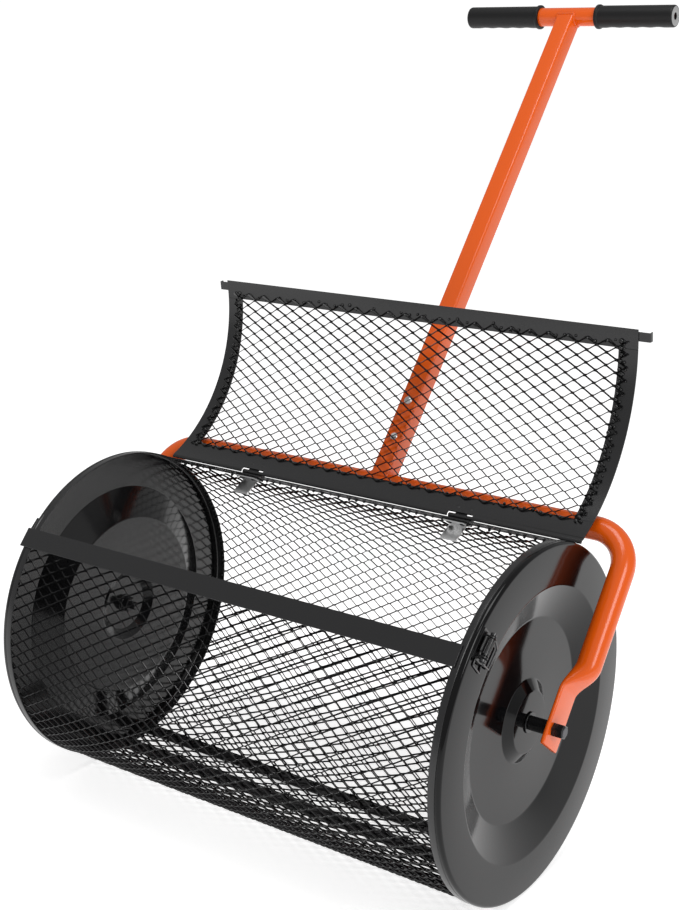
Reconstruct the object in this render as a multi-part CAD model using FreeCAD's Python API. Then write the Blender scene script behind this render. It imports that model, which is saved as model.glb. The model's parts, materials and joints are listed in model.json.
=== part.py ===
"""Walk-behind rolling soil sieve: a mesh drum with a hinged mesh door, pushed by a yoke and a T-handle.

Millimetres.  +X runs along the drum axle to the right, +Y points back towards the person who pushes,
+Z is up.  The origin is on the ground under the middle of the drum.  The shapes are drawn about the
drum axle and lifted onto the ground when they are written.  Angles in the drum's plane are degrees
from +Y towards +Z, so the back is 0, the top 90 and the front 180.
"""
import FreeCAD
import Part
import math
import os

from FreeCAD import Vector

# ---- driving dimensions ----
# drum
drum_radius = 200.0          # outside of the rim bands and the disc flanges
drum_half = 308.6            # axle centre to the flat rim of an end disc
sheet = 1.5                  # pressed and rolled steel sheet
mesh_outer = 198.4           # outside of the expanded metal
mesh_thick = 0.6             # steel left in the expanded metal, rolled flat
mesh_half = 299.0
mesh_start = 137.2           # the drum's mesh starts under the front bar ...
mesh_end = 417.4             # ... and runs under the drum to the rear bar

# end disc profile: radius and distance from the drum's middle, on the outer face
hub_face = 299.0
hub_r = 35.0
floor_face = 291.8
floor_r_in = 47.5
floor_r_out = 115.0
rim_face = drum_half
rim_r_in = 153.5
edge_r = 4.0                 # rounding between the flat rim and the disc's flange
disc_seam = 302.4            # the disc's flange meets the rim band here
seam_chamfer = 0.8
wall_shift = (0.4, 0.7)      # the inside of a sloping wall starts this much further out, or in
band_inner = 294.4

# bars across the drum
front_bar_angle = 139.0
front_bar_width = 24.0
front_bar_thick = 2.0
front_bar_left = -311.0
front_bar_right = 298.0
bar_seat = 200.05            # inner face of the front bar, on the rim bands
inner_bar = (198.45, 199.95)         # the other bars lie on the mesh, between the rim bands
inner_bar_half = 294.1
rear_bar = (57.0, 63.9)
lower_front_bar = (264.8, 271.7)
lower_rear_bar = (277.8, 283.4)

# door
hinge_r = 205.0
hinge_angle = 57.9
door_open = 124.4            # turn from shut to open, back towards the handle
door_inner = 200.4
door_outer = 201.9
door_from = 59.4
door_to = 133.8
door_half = 300.0
rail_width = 24.0
curl = (3.1, 4.6)            # the bottom rail's edge curls about the hinge axis, inner and outer radius
curl_turn = 65.0
curl_notch = 0.6             # the curl stops this far from a hinge
curl_notch_to = 0.9          # and the rail is cut back this many degrees behind it
door_mesh_half = 288.0
door_mesh_from = 64.3        # clear of the rear bar when the door is shut
door_mesh_to = 130.4
tab_angle = 131.3
tab_width = 11.0
tab_end = 314.5
tab_lip_height = 6.1

# hinges
hinge_centres = (-166.0, 143.0)
hinge_width = 32.0
pin_r = 1.6
knuckle_r = 3.0
knuckle_half = 7.7           # half length of the door's knuckle
knuckle_gap = 0.3
running_gap = 0.05
fixed_foot = (196.9, 198.4)          # the fixed leaf's foot, under the rear bar
fixed_foot_angles = (56.55, 61.9)
fixed_leg_to = 56.98         # its legs rise round the rear bar's edge
fixed_leg_r = 204.6
door_leaf = (201.95, 203.45)
door_leaf_to = 62.9
door_knuckle_to = 59.5
bracket_flange = (195.35, 196.85)
bracket_angles = (57.9, 61.9)
bracket_flange_extra = 3.0
bracket_tab_width = 22.0
bracket_tab_length = 27.0
bracket_tab_angle = 207.0
rivet_shank_r = 2.0
rivet_hole_r = 2.05
rivet_head_r = 3.4
rivet_head = 1.5             # height of a door rivet's head
fixed_rivet_head = 1.4
fixed_rivet_seat = 195.32    # a flat head just clear of the curved flange
fixed_rivet_angle = 59.9
door_rivet_angle = 61.2
rivet_offset = 9.0

# latches
latch_angle = 132.8
latch_pin_r = 1.5
latch_pivot_r = 184.0        # distance of the latch pin from the axle
latch_pivot_x = 315.4
latch_base = (171.0, 195.6, 16.0)    # inner radius, outer radius, half width
latch_ear_t = 10.4
latch_ear_thick = 1.5
latch_ear_r = 4.5
latch_rivet = (2.6, 1.2, 0.9)        # head radius, height, rounding
latch_rivet_r = 175.0
latch_rivet_t = 8.5
lever_half = 9.3
lever_barrel_r = 4.2
lever_reach = 11.0
lever_ribs = 12
lever_groove_r = 0.7
tongue_half = 8.0
bail_wire_r = 1.0
bail_half = 14.6             # half width at the eyes
bail_near = (10.0, 15.0)     # distance from the pin and half width where the sides turn in
bail_far = (28.0, 11.5)
bail_eye = (3.3, 2.6)        # radius and width of an eye
bail_tilt = 10.0
keeper = (168.5, 188.0, 6.5)         # inner radius, outer radius and reach from the base plate

# axles
bolt_r = 5.0
sleeve_r = 8.0
washer_r = 12.0
washer_thick = 1.6
bush_r = 8.0
bolt_head_r = 8.1            # to the corners
bolt_head_height = 13.7
nut_r = 9.8
nut_height = 8.5
bolt_tip = 276.0
axle_play = 0.3

# yoke
lean = 50.6                  # the handle's slope above level
frame_offset = -7.0          # the handle frame's centre plane lies this far below the axle
yoke_tube_r = 14.0
yoke_wall = 1.6
arm_x = 340.0
arm_from = 76.0
cross_u = 235.0
bend_r = 46.0
plate_in = 323.5
plate_thick = 5.0
plate_width = 42.0
plate_from = -19.5
plate_to = 42.0

# handle
handle_side = 25.0
handle_wall = 2.0
stub_side = 20.6
stub_top = 385.0
upper_bolt_u = 347.0
lower_bolt_u = 296.0
clamp_bolt_r = 3.0
tbar_u = 961.0
tbar_r = 12.5
tbar_wall = 2.0
tbar_half = 152.5
grip_from = 43.0
grip_to = 156.0
grip_r = 14.6
grip_flange_r = 16.4
grip_flange = 5.0
grip_hole_r = 4.5
grip_end_wall = 3.0
groove_first = 60.0          # finger grooves: first one from the middle, spacing, radius and depth
groove_pitch = 24.0
groove_count = 4
groove_r = 9.4
groove_depth = 1.0

axis_x = Vector(1, 0, 0)
centre = Vector(0, 0, 0)


# ---- helpers ----
def polar(radius, angle, x=0.0):
    """Point at a radius and an angle in the drum's plane."""
    return Vector(x, radius * math.cos(math.radians(angle)), radius * math.sin(math.radians(angle)))


def rounded_outline(points, place):
    """Closed wire through (a, b, radius) points, each corner rounded; place maps (a, b) to a Vector."""
    count = len(points)
    ends = []
    for i in range(count):
        a, b, radius = points[i]
        here = Vector(a, b, 0)
        before = Vector(points[i - 1][0], points[i - 1][1], 0) - here
        after = Vector(points[(i + 1) % count][0], points[(i + 1) % count][1], 0) - here
        before.normalize()
        after.normalize()
        half = before.getAngle(after) / 2.0
        if radius <= 0 or half > math.radians(89.5):
            ends.append((here, None, here))
            continue
        back = radius / math.tan(half)
        middle_way = before + after
        middle_way.normalize()
        hub = here + middle_way * (radius / math.sin(half))
        ends.append((here + before * back, hub - middle_way * radius, here + after * back))
    edges = []
    for i in range(count):
        start, middle, stop = ends[i]
        following = ends[(i + 1) % count][0]
        if middle is not None:
            arc = Part.Arc(place(start.x, start.y), place(middle.x, middle.y), place(stop.x, stop.y))
            edges.append(arc.toShape())
        if (following - stop).Length > 1e-6:
            edges.append(Part.makeLine(place(stop.x, stop.y), place(following.x, following.y)))
    return Part.Wire(edges)


def turned(points):
    """Solid of revolution about the drum axle from (radius, x, corner radius) points."""
    wire = rounded_outline(points, lambda radius, x: Vector(x, radius, 0))
    return Part.Face(wire).revolve(centre, axis_x, 360)


def ring(outer, inner, x_from, x_to, y=0.0, z=0.0):
    """Straight ring along X."""
    at = Vector(min(x_from, x_to), y, z)
    length = abs(x_to - x_from)
    return Part.makeCylinder(outer, length, at, axis_x).cut(Part.makeCylinder(inner, length, at, axis_x))


def rolled_sheet(inner, outer, angle_from, angle_to, x_from, x_to):
    """Sheet rolled about the drum axle."""
    mid_angle = (angle_from + angle_to) / 2.0
    edges = [
        Part.Arc(polar(outer, angle_from), polar(outer, mid_angle), polar(outer, angle_to)).toShape(),
        Part.makeLine(polar(outer, angle_to), polar(inner, angle_to)),
        Part.Arc(polar(inner, angle_to), polar(inner, mid_angle), polar(inner, angle_from)).toShape(),
        Part.makeLine(polar(inner, angle_from), polar(outer, angle_from)),
    ]
    face = Part.Face(Part.Wire(edges))
    face.translate(Vector(x_from, 0, 0))
    return face.extrude(Vector(x_to - x_from, 0, 0))


def rim_block(angle, r_from, r_to, t_from, t_to, x_from, x_to):
    """Box set at an angle on the drum: radial, tangential and axial spans."""
    block = Part.makeBox(x_to - x_from, r_to - r_from, t_to - t_from, Vector(x_from, r_from, t_from))
    block.rotate(centre, axis_x, angle)
    return block


def rim_rod(angle, radius, x, t_from, t_to, r):
    """Rod along the tangent at an angle on the drum."""
    rod = Part.makeCylinder(r, t_to - t_from, Vector(x, radius, t_from), Vector(0, 0, 1))
    rod.rotate(centre, axis_x, angle)
    return rod


def frame_vector(x, u, n=frame_offset):
    """Point in the handle frame: across, along the handle from the axle, and square to its front."""
    slope = math.radians(lean)
    y = u * math.cos(slope) - n * math.sin(slope)
    z = u * math.sin(slope) + n * math.cos(slope)
    return Vector(x, y, z)


def frame_direction(x, u, n):
    return frame_vector(x, u, n) - frame_vector(0, 0, 0)


def frame_box(x_from, x_to, u_from, u_to, n_from, n_to):
    box = Part.makeBox(x_to - x_from, u_to - u_from, n_to - n_from, Vector(x_from, u_from, n_from))
    box.rotate(centre, axis_x, lean)
    return box


def square_tube(side, wall, u_from, u_to):
    half = side / 2.0
    inner = half - wall
    outside = frame_box(-half, half, u_from, u_to, frame_offset - half, frame_offset + half)
    long_edges = []
    for edge in outside.Edges:
        if abs(edge.Length - (u_to - u_from)) < 1e-3:
            long_edges.append(edge)
    outside = outside.makeFillet(wall, long_edges)
    inside = frame_box(-inner, inner, u_from - 1, u_to + 1, frame_offset - inner, frame_offset + inner)
    return outside.cut(inside)


def hexagon(across_corners, x_from, x_to):
    """Hexagonal prism along X about the drum axle."""
    points = []
    for i in range(7):
        points.append(polar(across_corners, 60.0 * i, x_from))
    return Part.Face(Part.makePolygon(points)).extrude(Vector(x_to - x_from, 0, 0))


def chamfered_hexagon(across_corners, x_from, x_to, chamfer, both=False):
    """Hexagon whose corners are turned off at its x_to end, and at both ends if asked."""
    flat_r = across_corners * 0.87
    points = [(0, x_from, 0)]
    sign = 1.0 if x_to > x_from else -1.0
    if both:
        points += [(flat_r, x_from, 0), (across_corners + 0.01, x_from + sign * chamfer, 0)]
    else:
        points.append((across_corners + 0.01, x_from, 0))
    points += [(across_corners + 0.01, x_to - sign * chamfer, 0), (flat_r, x_to, 0), (0, x_to, 0)]
    return hexagon(across_corners, x_from, x_to).common(turned(points))


def mirrored(shape):
    return shape.mirror(centre, axis_x)


def both_sides(shape):
    return [shape, mirrored(shape)]


def as_group(shapes):
    """Separate solids kept in one file."""
    solids = []
    for shape in shapes:
        solids.extend(shape.Solids)
    return Part.makeCompound(solids)


def write(name, shape):
    """Lift a finished shape onto the ground and write it."""
    lifted = shape.copy()
    lifted.translate(Vector(0, 0, drum_radius))
    lifted.exportStep("parts/" + name + ".step")
    volume = sum(solid.Volume for solid in lifted.Solids)
    print("%-26s %2d solids %10.0f mm3 %s" % (name, len(lifted.Solids), volume, lifted.isValid()))


def hinge_point(x=0.0):
    return polar(hinge_r, hinge_angle, x)


def opened(shape):
    """Turn a door piece from where it is when shut to where it rests when open."""
    turned_back = shape.copy()
    turned_back.rotate(hinge_point(), axis_x, -door_open)
    return turned_back


# ---- drum ----
def end_disc():
    """Right end disc: one pressing with a raised hub, a sunk floor, a flat rim and a rolled edge."""
    inside = drum_radius - sheet
    back = rim_face - sheet
    outline = [
        (bush_r, hub_face, 0),
        (hub_r, hub_face, 3.0),
        (floor_r_in, floor_face, 3.0),
        (floor_r_out, floor_face, 6.0),
        (rim_r_in, rim_face, 6.0),
        (drum_radius, rim_face, edge_r),
        (drum_radius, disc_seam + seam_chamfer, 0),
        (drum_radius - seam_chamfer, disc_seam, 0),
        (inside, disc_seam, 0),
        (inside, back, edge_r - sheet),
        (rim_r_in + wall_shift[0], back, 4.5),
        (floor_r_out + wall_shift[0], floor_face - sheet, 7.5),
        (floor_r_in - wall_shift[1], floor_face - sheet, 4.0),
        (hub_r - wall_shift[1], hub_face - sheet, 2.0),
        (bush_r, hub_face - sheet, 0),
    ]
    return turned(outline)


def rim_band():
    """Right rim band: the hoop that closes the mesh against the disc."""
    outline = [
        (drum_radius - sheet, band_inner, 0),
        (drum_radius - 0.4, band_inner, 0),
        (drum_radius, band_inner + 0.4, 0),
        (drum_radius, disc_seam - seam_chamfer, 0),
        (drum_radius - seam_chamfer, disc_seam, 0),
        (drum_radius - sheet, disc_seam, 0),
    ]
    return turned(outline)


def hub_bush():
    """Flanged bush pressed into the right hub from inside."""
    flange_r = washer_r
    inside = hub_face - sheet
    outline = [
        (bolt_r + running_gap, hub_face, 0),
        (bush_r, hub_face, 0),
        (bush_r, inside, 0),
        (flange_r, inside, 0),
        (flange_r, inside - sheet, 0),
        (bolt_r + running_gap, inside - sheet, 0),
    ]
    return turned(outline)


def front_bar():
    return rim_block(front_bar_angle, bar_seat, bar_seat + front_bar_thick,
                     -front_bar_width / 2, front_bar_width / 2, front_bar_left, front_bar_right)


def radial_hole(angle, x, radius, r_from=180.0, r_to=215.0):
    return Part.makeCylinder(radius, r_to - r_from, polar(r_from, angle, x), polar(1.0, angle))


def rivet(angle, x, tail_r, seat_r, head):
    """Domed rivet with its tail and its head's seat at two distances from the axle."""
    tail = polar(tail_r, angle, x)
    seat = polar(seat_r, angle, x)
    along = seat - tail
    body = Part.makeCylinder(rivet_shank_r, along.Length, tail, along)
    top = Part.makeCylinder(rivet_head_r, head, seat, along)
    top = top.makeFillet(head * 0.8, [top.Edges[0]])
    return body.fuse(top).removeSplitter()


def cut_rivet_holes(shape, angle, radius=rivet_hole_r):
    for middle in hinge_centres:
        for offset in (-rivet_offset, rivet_offset):
            shape = shape.cut(radial_hole(angle, middle + offset, radius))
    return shape


def inner_flat_bar(angles):
    """Flat bar rolled to the drum, laid on the mesh between the rim bands."""
    return rolled_sheet(inner_bar[0], inner_bar[1], angles[0], angles[1], -inner_bar_half, inner_bar_half)


def drum_mesh():
    """The drum's mesh, cut away under the feet of the hinges."""
    inner = mesh_outer - mesh_thick
    mesh = rolled_sheet(inner, mesh_outer, mesh_start, mesh_end, -mesh_half, mesh_half)
    half = hinge_width / 2 + curl_notch
    low = fixed_foot_angles[0] - 0.3
    for middle in hinge_centres:
        mesh = mesh.cut(rolled_sheet(inner - 5, mesh_outer + 5, low, low + 5, middle - half, middle + half))
    return mesh


def fixed_hinge_leaf(middle):
    """Leaf with its foot under the rear bar, legs round the bar's edge and the two outer knuckles."""
    half = hinge_width / 2
    gap = knuckle_half + knuckle_gap
    leaf = rolled_sheet(fixed_foot[0], fixed_foot[1], fixed_foot_angles[0], fixed_foot_angles[1],
                        middle - half, middle + half)
    for side in (-1, 1):
        near = middle + side * gap
        far = middle + side * half
        x_from = min(near, far)
        x_to = max(near, far)
        leg = rolled_sheet(fixed_foot[1] - sheet, fixed_leg_r, fixed_foot_angles[0], fixed_leg_to, x_from, x_to)
        top = rolled_sheet(fixed_leg_r - sheet, fixed_leg_r, fixed_leg_to - 0.1, hinge_angle - 0.3, x_from, x_to)
        knuckle = Part.makeCylinder(knuckle_r, half - gap, hinge_point(near), axis_x * side)
        leaf = leaf.fuse(leg).fuse(top).fuse(knuckle)
    bore = Part.makeCylinder(pin_r + running_gap, hinge_width + 2, hinge_point(middle - half - 1), axis_x)
    return cut_rivet_holes(leaf.cut(bore).removeSplitter(), fixed_rivet_angle)


def door_hinge_leaf(middle):
    """Leaf on the door's bottom rail with the middle knuckle, in its shut place."""
    half = hinge_width / 2
    leaf = rolled_sheet(door_leaf[0], door_leaf[1], hinge_angle, door_leaf_to, middle - half, middle + half)
    for side in (-1, 1):
        near = middle + side * knuckle_half
        far = middle + side * (half + 1)
        leaf = leaf.cut(rolled_sheet(190, 215, 50, door_knuckle_to, min(near, far), max(near, far)))
    at = hinge_point(middle - knuckle_half)
    leaf = leaf.fuse(Part.makeCylinder(knuckle_r, 2 * knuckle_half, at, axis_x))
    bore = Part.makeCylinder(pin_r, hinge_width + 2, hinge_point(middle - half - 1), axis_x)
    return cut_rivet_holes(leaf.cut(bore).removeSplitter(), door_rivet_angle)


def hinge_pin(middle):
    length = hinge_width + 0.8
    pin = Part.makeCylinder(pin_r, length, hinge_point(middle - length / 2), axis_x)
    return pin.makeChamfer(0.3, [pin.Edges[0], pin.Edges[2]])


def hinge_bracket(middle):
    """Angle bracket under the fixed leaf's foot, with a tab that hangs into the drum."""
    half = bracket_tab_width / 2
    inner, outer = bracket_flange
    wide = half + bracket_flange_extra
    flange = rolled_sheet(inner, outer, bracket_angles[0], bracket_angles[1], middle - wide, middle + wide)
    tab = Part.makeBox(bracket_tab_width, bracket_tab_length, sheet, Vector(middle - half, 0, 0))
    tab.rotate(centre, axis_x, bracket_tab_angle)
    corner = polar(outer, bracket_angles[0])
    tab.translate(Vector(0, corner.y, corner.z))
    tab = tab.cut(ring(drum_radius + 20, outer, -drum_half, drum_half))
    return cut_rivet_holes(flange.fuse(tab).removeSplitter(), fixed_rivet_angle)


# ---- door, drawn shut ----
def rail_degrees():
    return math.degrees(rail_width / door_outer)


def top_rail():
    return rolled_sheet(door_inner, door_outer, door_to - rail_degrees(), door_to, -door_half, door_half)


def bottom_rail():
    """Bottom rail, whose lower edge curls about the hinge axis and is notched for the hinges."""
    rail = rolled_sheet(door_inner, door_outer, hinge_angle, door_from + rail_degrees(), -door_half, door_half)
    at = hinge_point()
    roll = ring(curl[1], curl[0], -door_half, door_half, at.y, at.z)
    under = hinge_angle + 180.0
    reach = 2 * curl[1]
    corners = [at]
    for step in range(4):
        turn = math.radians(under + curl_turn * step / 3)
        corners.append(at + Vector(0, reach * math.cos(turn), reach * math.sin(turn)))
    corners.append(at)
    wedge = Part.Face(Part.makePolygon(corners)).extrude(Vector(2 * door_half, 0, 0))
    wedge.translate(Vector(-door_half, 0, 0))
    rail = rail.fuse(roll.common(wedge))
    notch_to = hinge_angle + curl_notch_to
    half = hinge_width / 2 + curl_notch
    for middle in hinge_centres:
        rail = rail.cut(rolled_sheet(190, 215, hinge_angle - 6, notch_to, middle - half, middle + half))
    return cut_rivet_holes(rail.removeSplitter(), door_rivet_angle)


def side_rail():
    low = door_from + rail_degrees()
    high = door_to - rail_degrees()
    return rolled_sheet(door_inner, door_outer, low, high, door_half - rail_width, door_half)


def door_mesh():
    outer = door_inner - 0.05
    return rolled_sheet(outer - mesh_thick, outer, door_mesh_from, door_mesh_to, -door_mesh_half, door_mesh_half)


def catch_tab():
    """Right catch tab: a strip on the top rail that reaches past the disc, with a turned-up lip."""
    seat = door_outer + 0.05
    half = tab_width / 2
    outline = [
        (288.0, seat, 0),
        (tab_end, seat, 1.2),
        (tab_end, seat + tab_lip_height, 0),
        (tab_end - sheet, seat + tab_lip_height, 0),
        (tab_end - sheet, seat + sheet, 0.3),
        (288.0, seat + sheet, 0),
    ]
    face = Part.Face(rounded_outline(outline, lambda x, r: Vector(x, r, -half)))
    tab = face.extrude(Vector(0, 0, tab_width))
    tab.rotate(centre, axis_x, tab_angle)
    return tab


# ---- latch, right side ----
def latch_base_plate():
    r_in, r_out, half = latch_base
    top = rim_face + sheet
    plate = rim_block(latch_angle, r_in, r_out, -half, half, rim_face, top)
    for side in (-1, 1):
        near = side * latch_ear_t
        far = side * (latch_ear_t + latch_ear_thick)
        ear = rim_block(latch_angle, latch_pivot_r - latch_ear_r, latch_pivot_r + latch_ear_r,
                        min(near, far), max(near, far), top, latch_pivot_x)
        cap = rim_rod(latch_angle, latch_pivot_r, latch_pivot_x, min(near, far), max(near, far), latch_ear_r)
        plate = plate.fuse(ear).fuse(cap)
    plate = plate.removeSplitter()
    return plate.cut(rim_rod(latch_angle, latch_pivot_r, latch_pivot_x, -half - 2, half + 2, latch_pin_r))


def latch_pin():
    reach = bail_half + bail_eye[1] / 2 + 0.8
    return rim_rod(latch_angle, latch_pivot_r, latch_pivot_x, -reach, reach, latch_pin_r)


def latch_rivets():
    """Two domed rivet heads that hold the base plate to the disc."""
    heads = []
    top = rim_face + sheet
    head_r, head_height, rounding = latch_rivet
    for side in (-1, 1):
        head = Part.makeCylinder(head_r, head_height, Vector(top, latch_rivet_r, side * latch_rivet_t), axis_x)
        head = head.makeFillet(rounding, [head.Edges[0]])
        head.rotate(centre, axis_x, latch_angle)
        heads.append(head)
    return heads


def latch_lever():
    """Ribbed barrel with a tongue that lies towards the rim when the latch is let go."""
    barrel = rim_rod(latch_angle, latch_pivot_r, latch_pivot_x, -lever_half, lever_half, lever_barrel_r)
    groove_at = lever_barrel_r + lever_groove_r / 2
    groove_half = lever_half - 1.6
    for i in range(lever_ribs):
        turn = math.radians(360.0 * i / lever_ribs)
        groove = rim_rod(latch_angle, latch_pivot_r + groove_at * math.cos(turn),
                         latch_pivot_x + groove_at * math.sin(turn), -groove_half, groove_half, lever_groove_r)
        barrel = barrel.cut(groove)
    tongue_top = latch_pivot_x - 1.2
    tongue_end = latch_pivot_r + lever_reach - 1.2
    tongue = rim_block(latch_angle, latch_pivot_r + 2.0, tongue_end, -tongue_half, tongue_half,
                       tongue_top - sheet, tongue_top)
    lip = rim_rod(latch_angle, tongue_end, tongue_top - 0.3, -tongue_half, tongue_half, 1.2)
    lever = barrel.fuse(tongue).fuse(lip).removeSplitter()
    bore = rim_rod(latch_angle, latch_pivot_r, latch_pivot_x, -lever_half - 1, lever_half + 1,
                   latch_pin_r + running_gap)
    return lever.cut(bore)


def wire_path(points, radius):
    """Round wire through points: rods joined by balls."""
    wire = None
    for i in range(len(points) - 1):
        way = points[i + 1] - points[i]
        rod = Part.makeCylinder(radius, way.Length, points[i], way)
        wire = rod if wire is None else wire.fuse(rod)
        if i > 0:
            wire = wire.fuse(Part.makeSphere(radius, points[i]))
    return wire


def latch_bail():
    """Wire loop that turns on the latch pin and hooks over the door's catch tab."""
    half = [(2.2, bail_half), bail_near, bail_far]
    points = [(along, -across) for along, across in half]
    points += list(reversed(half))
    path = []
    for along, across in points:
        path.append(Vector(latch_pivot_x, latch_pivot_r - along, across))
    bail = wire_path(path, bail_wire_r)
    for side in (-1, 1):
        at = Vector(latch_pivot_x, latch_pivot_r, side * bail_half - bail_eye[1] / 2)
        eye = Part.makeCylinder(bail_eye[0], bail_eye[1], at, Vector(0, 0, 1))
        bail = bail.fuse(eye)
    for side in (-1, 1):
        at = Vector(latch_pivot_x, latch_pivot_r, side * bail_half - 2.3)
        bail = bail.cut(Part.makeCylinder(latch_pin_r + running_gap, 4.6, at, Vector(0, 0, 1)))
    bail.rotate(Vector(latch_pivot_x, latch_pivot_r, 0), Vector(0, 0, 1), -bail_tilt)
    bail.rotate(centre, axis_x, latch_angle)
    return bail


def latch_keeper():
    """Small wire staple beside the base plate that the shut tongue snaps behind."""
    level = rim_face + bail_wire_r
    base = latch_base[2]
    r_in, r_out, reach = keeper
    r_in_at_plate = latch_base[0] + bail_wire_r
    points = [
        Vector(level, r_out, base), Vector(level, r_out, base + reach),
        Vector(level, r_in, base + reach), Vector(level, r_in_at_plate, base),
    ]
    staple = wire_path(points, bail_wire_r)
    staple.rotate(centre, axis_x, latch_angle)
    plate = rim_block(latch_angle, latch_base[0], latch_base[1], -base, base, rim_face, rim_face + sheet)
    return staple.cut(plate)


# ---- axles ----
plate_out = plate_in + plate_thick
outer_washer = hub_face + axle_play
sleeve_from = outer_washer + washer_thick
inner_face = hub_face - 2 * sheet
inner_washer = inner_face - axle_play


def axle_bolt():
    head = chamfered_hexagon(bolt_head_r, plate_out, plate_out + bolt_head_height, 1.2)
    shank = Part.makeCylinder(bolt_r, plate_out - bolt_tip, Vector(bolt_tip, 0, 0), axis_x)
    tip = shank.makeChamfer(0.8, [shank.Edges[2]])
    return head.fuse(tip).removeSplitter()


def axle_nut():
    face = inner_washer - washer_thick
    nut = chamfered_hexagon(nut_r, face, face - nut_height, 1.0, both=True)
    return nut.cut(Part.makeCylinder(bolt_r, 30, Vector(face - 15, 0, 0), axis_x))


# ---- handle frame ----
def along_handle():
    return frame_direction(0, 1.0, 0)


def square_to_handle():
    return frame_direction(0, 0, 1.0)


def slot_section(x, u, width, thick, slope):
    """Slot-shaped wire across the flattening tube: its width runs square to the handle's plane."""
    straight = max(width - thick, 0.4) / 2.0
    r = thick / 2.0
    across = frame_direction(math.cos(slope), -math.sin(slope), 0)
    square = square_to_handle()
    middle = frame_vector(x, u)

    def at(a, b):
        return middle + across * a + square * b

    edges = [
        Part.makeLine(at(r, -straight), at(r, straight)),
        Part.Arc(at(r, straight), at(0, straight + r), at(-r, straight)).toShape(),
        Part.makeLine(at(-r, straight), at(-r, -straight)),
        Part.Arc(at(-r, -straight), at(0, -straight - r), at(r, -straight)).toShape(),
    ]
    return Part.Wire(edges)


def bent_rod(radius):
    """Right half of the yoke's round rod: arm, bend and half of the cross tube."""
    top_u = cross_u - bend_r
    low_u = arm_from + 2.0
    arm = Part.makeCylinder(radius, top_u - low_u, frame_vector(arm_x, low_u), along_handle())
    section = Part.Face(Part.Wire(Part.makeCircle(radius, frame_vector(arm_x, top_u), along_handle())))
    bend = section.revolve(frame_vector(arm_x - bend_r, top_u), square_to_handle(), 90)
    cross = Part.makeCylinder(radius, arm_x - bend_r, frame_vector(0, cross_u), axis_x)
    return arm.fuse([bend, cross]).removeSplitter()


def crank():
    """The flattening, cranked length between the round arm and the plate."""
    size = 2 * yoke_tube_r
    plate_x = plate_in + plate_thick / 2
    sections = [
        slot_section(plate_x, plate_to, plate_width, plate_thick, 0.0),
        slot_section(plate_x + 1.2, plate_to + 8.0, 39.5, 9.0, 0.2),
        slot_section(arm_x - 4.5, arm_from - 13.0, 33.5, 19.5, 0.35),
        slot_section(arm_x - 0.6, arm_from - 3.0, size + 0.6, size - 0.8, 0.1),
        slot_section(arm_x, arm_from + 2.0, size + 0.4, size, 0.0),
    ]
    return Part.makeLoft(sections, True, False)


def end_plate():
    """Flattened end of the yoke that takes the axle bolt."""
    half = plate_width / 2
    plate = frame_box(plate_in, plate_out, plate_from, plate_to, frame_offset - half, frame_offset + half)
    low_end = frame_vector(plate_in + plate_thick / 2, plate_from)
    corners = []
    for edge in plate.Edges:
        away = edge.CenterOfMass - low_end
        if abs(edge.Length - plate_thick) < 1e-3 and abs(away.dot(along_handle())) < 1e-3:
            corners.append(edge)
    return plate.makeFillet(3.0, corners)


def yoke_tube():
    """One bent tube with both ends cranked in and pressed flat."""
    half = end_plate().fuse([crank(), bent_rod(yoke_tube_r)])
    half = half.cut(bent_rod(yoke_tube_r - yoke_wall))
    half = half.cut(Part.makeCylinder(bolt_r + running_gap, 40, Vector(plate_in - 10, 0, 0), axis_x))
    return half.fuse(mirrored(half)).removeSplitter()


def handle_tube():
    """Square tube from the yoke to the T-bar, notched onto both round tubes."""
    tube = square_tube(handle_side, handle_wall, cross_u + 2.0, tbar_u)
    for at_u, radius in ((cross_u, yoke_tube_r), (tbar_u, tbar_r)):
        tube = tube.cut(Part.makeCylinder(radius, 60, frame_vector(-30, at_u), axis_x))
    return drill_clamp_holes(tube)


def handle_stub():
    """Inner square tube welded to the yoke: the handle is bolted over it."""
    tube = square_tube(stub_side, handle_wall, cross_u + 2.0, stub_top)
    tube = tube.cut(Part.makeCylinder(yoke_tube_r, 60, frame_vector(-30, cross_u), axis_x))
    return drill_clamp_holes(tube)


def clamp_rod(at_u, radius, n_from, n_to):
    """Rod square to the handle through one of the clamp holes; n is measured from the tube's middle."""
    low = frame_vector(0, at_u, frame_offset + min(n_from, n_to))
    return Part.makeCylinder(radius, abs(n_to - n_from), low, square_to_handle())


def drill_clamp_holes(shape):
    for at_u in (upper_bolt_u, lower_bolt_u):
        shape = shape.cut(clamp_rod(at_u, clamp_bolt_r + running_gap, -20, 20))
    return shape


tube_face = handle_side / 2
clamp_washer_r = 6.0
clamp_washer_thick = 1.2
clamp_nut = 5.0
clamp_nut_r = 5.7


def clamp_bolts():
    """Two bolts through the handle: a domed head and a low countersunk-style head."""
    tail = tube_face + clamp_washer_thick + clamp_nut + 1.5
    bolts = []
    for at_u, head_r, head, rounding in ((upper_bolt_u, 5.5, 3.3, 2.6), (lower_bolt_u, 4.8, 1.0, 0.5)):
        cap = clamp_rod(at_u, head_r, tube_face, tube_face + head)
        rim = [edge for edge in cap.Edges if edge.Closed and
               (edge.CenterOfMass - frame_vector(0, at_u)).Length > tube_face + head / 2]
        cap = cap.makeFillet(rounding, rim)
        shank = clamp_rod(at_u, clamp_bolt_r, -tail, tube_face)
        bolts.append(shank.fuse(cap).removeSplitter())
    return bolts


def clamp_washers():
    washers = []
    back = -tube_face - clamp_washer_thick
    for at_u in (upper_bolt_u, lower_bolt_u):
        disc_shape = clamp_rod(at_u, clamp_washer_r, back, -tube_face)
        washers.append(disc_shape.cut(clamp_rod(at_u, clamp_bolt_r + running_gap, back - 1, 0)))
    return washers


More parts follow.
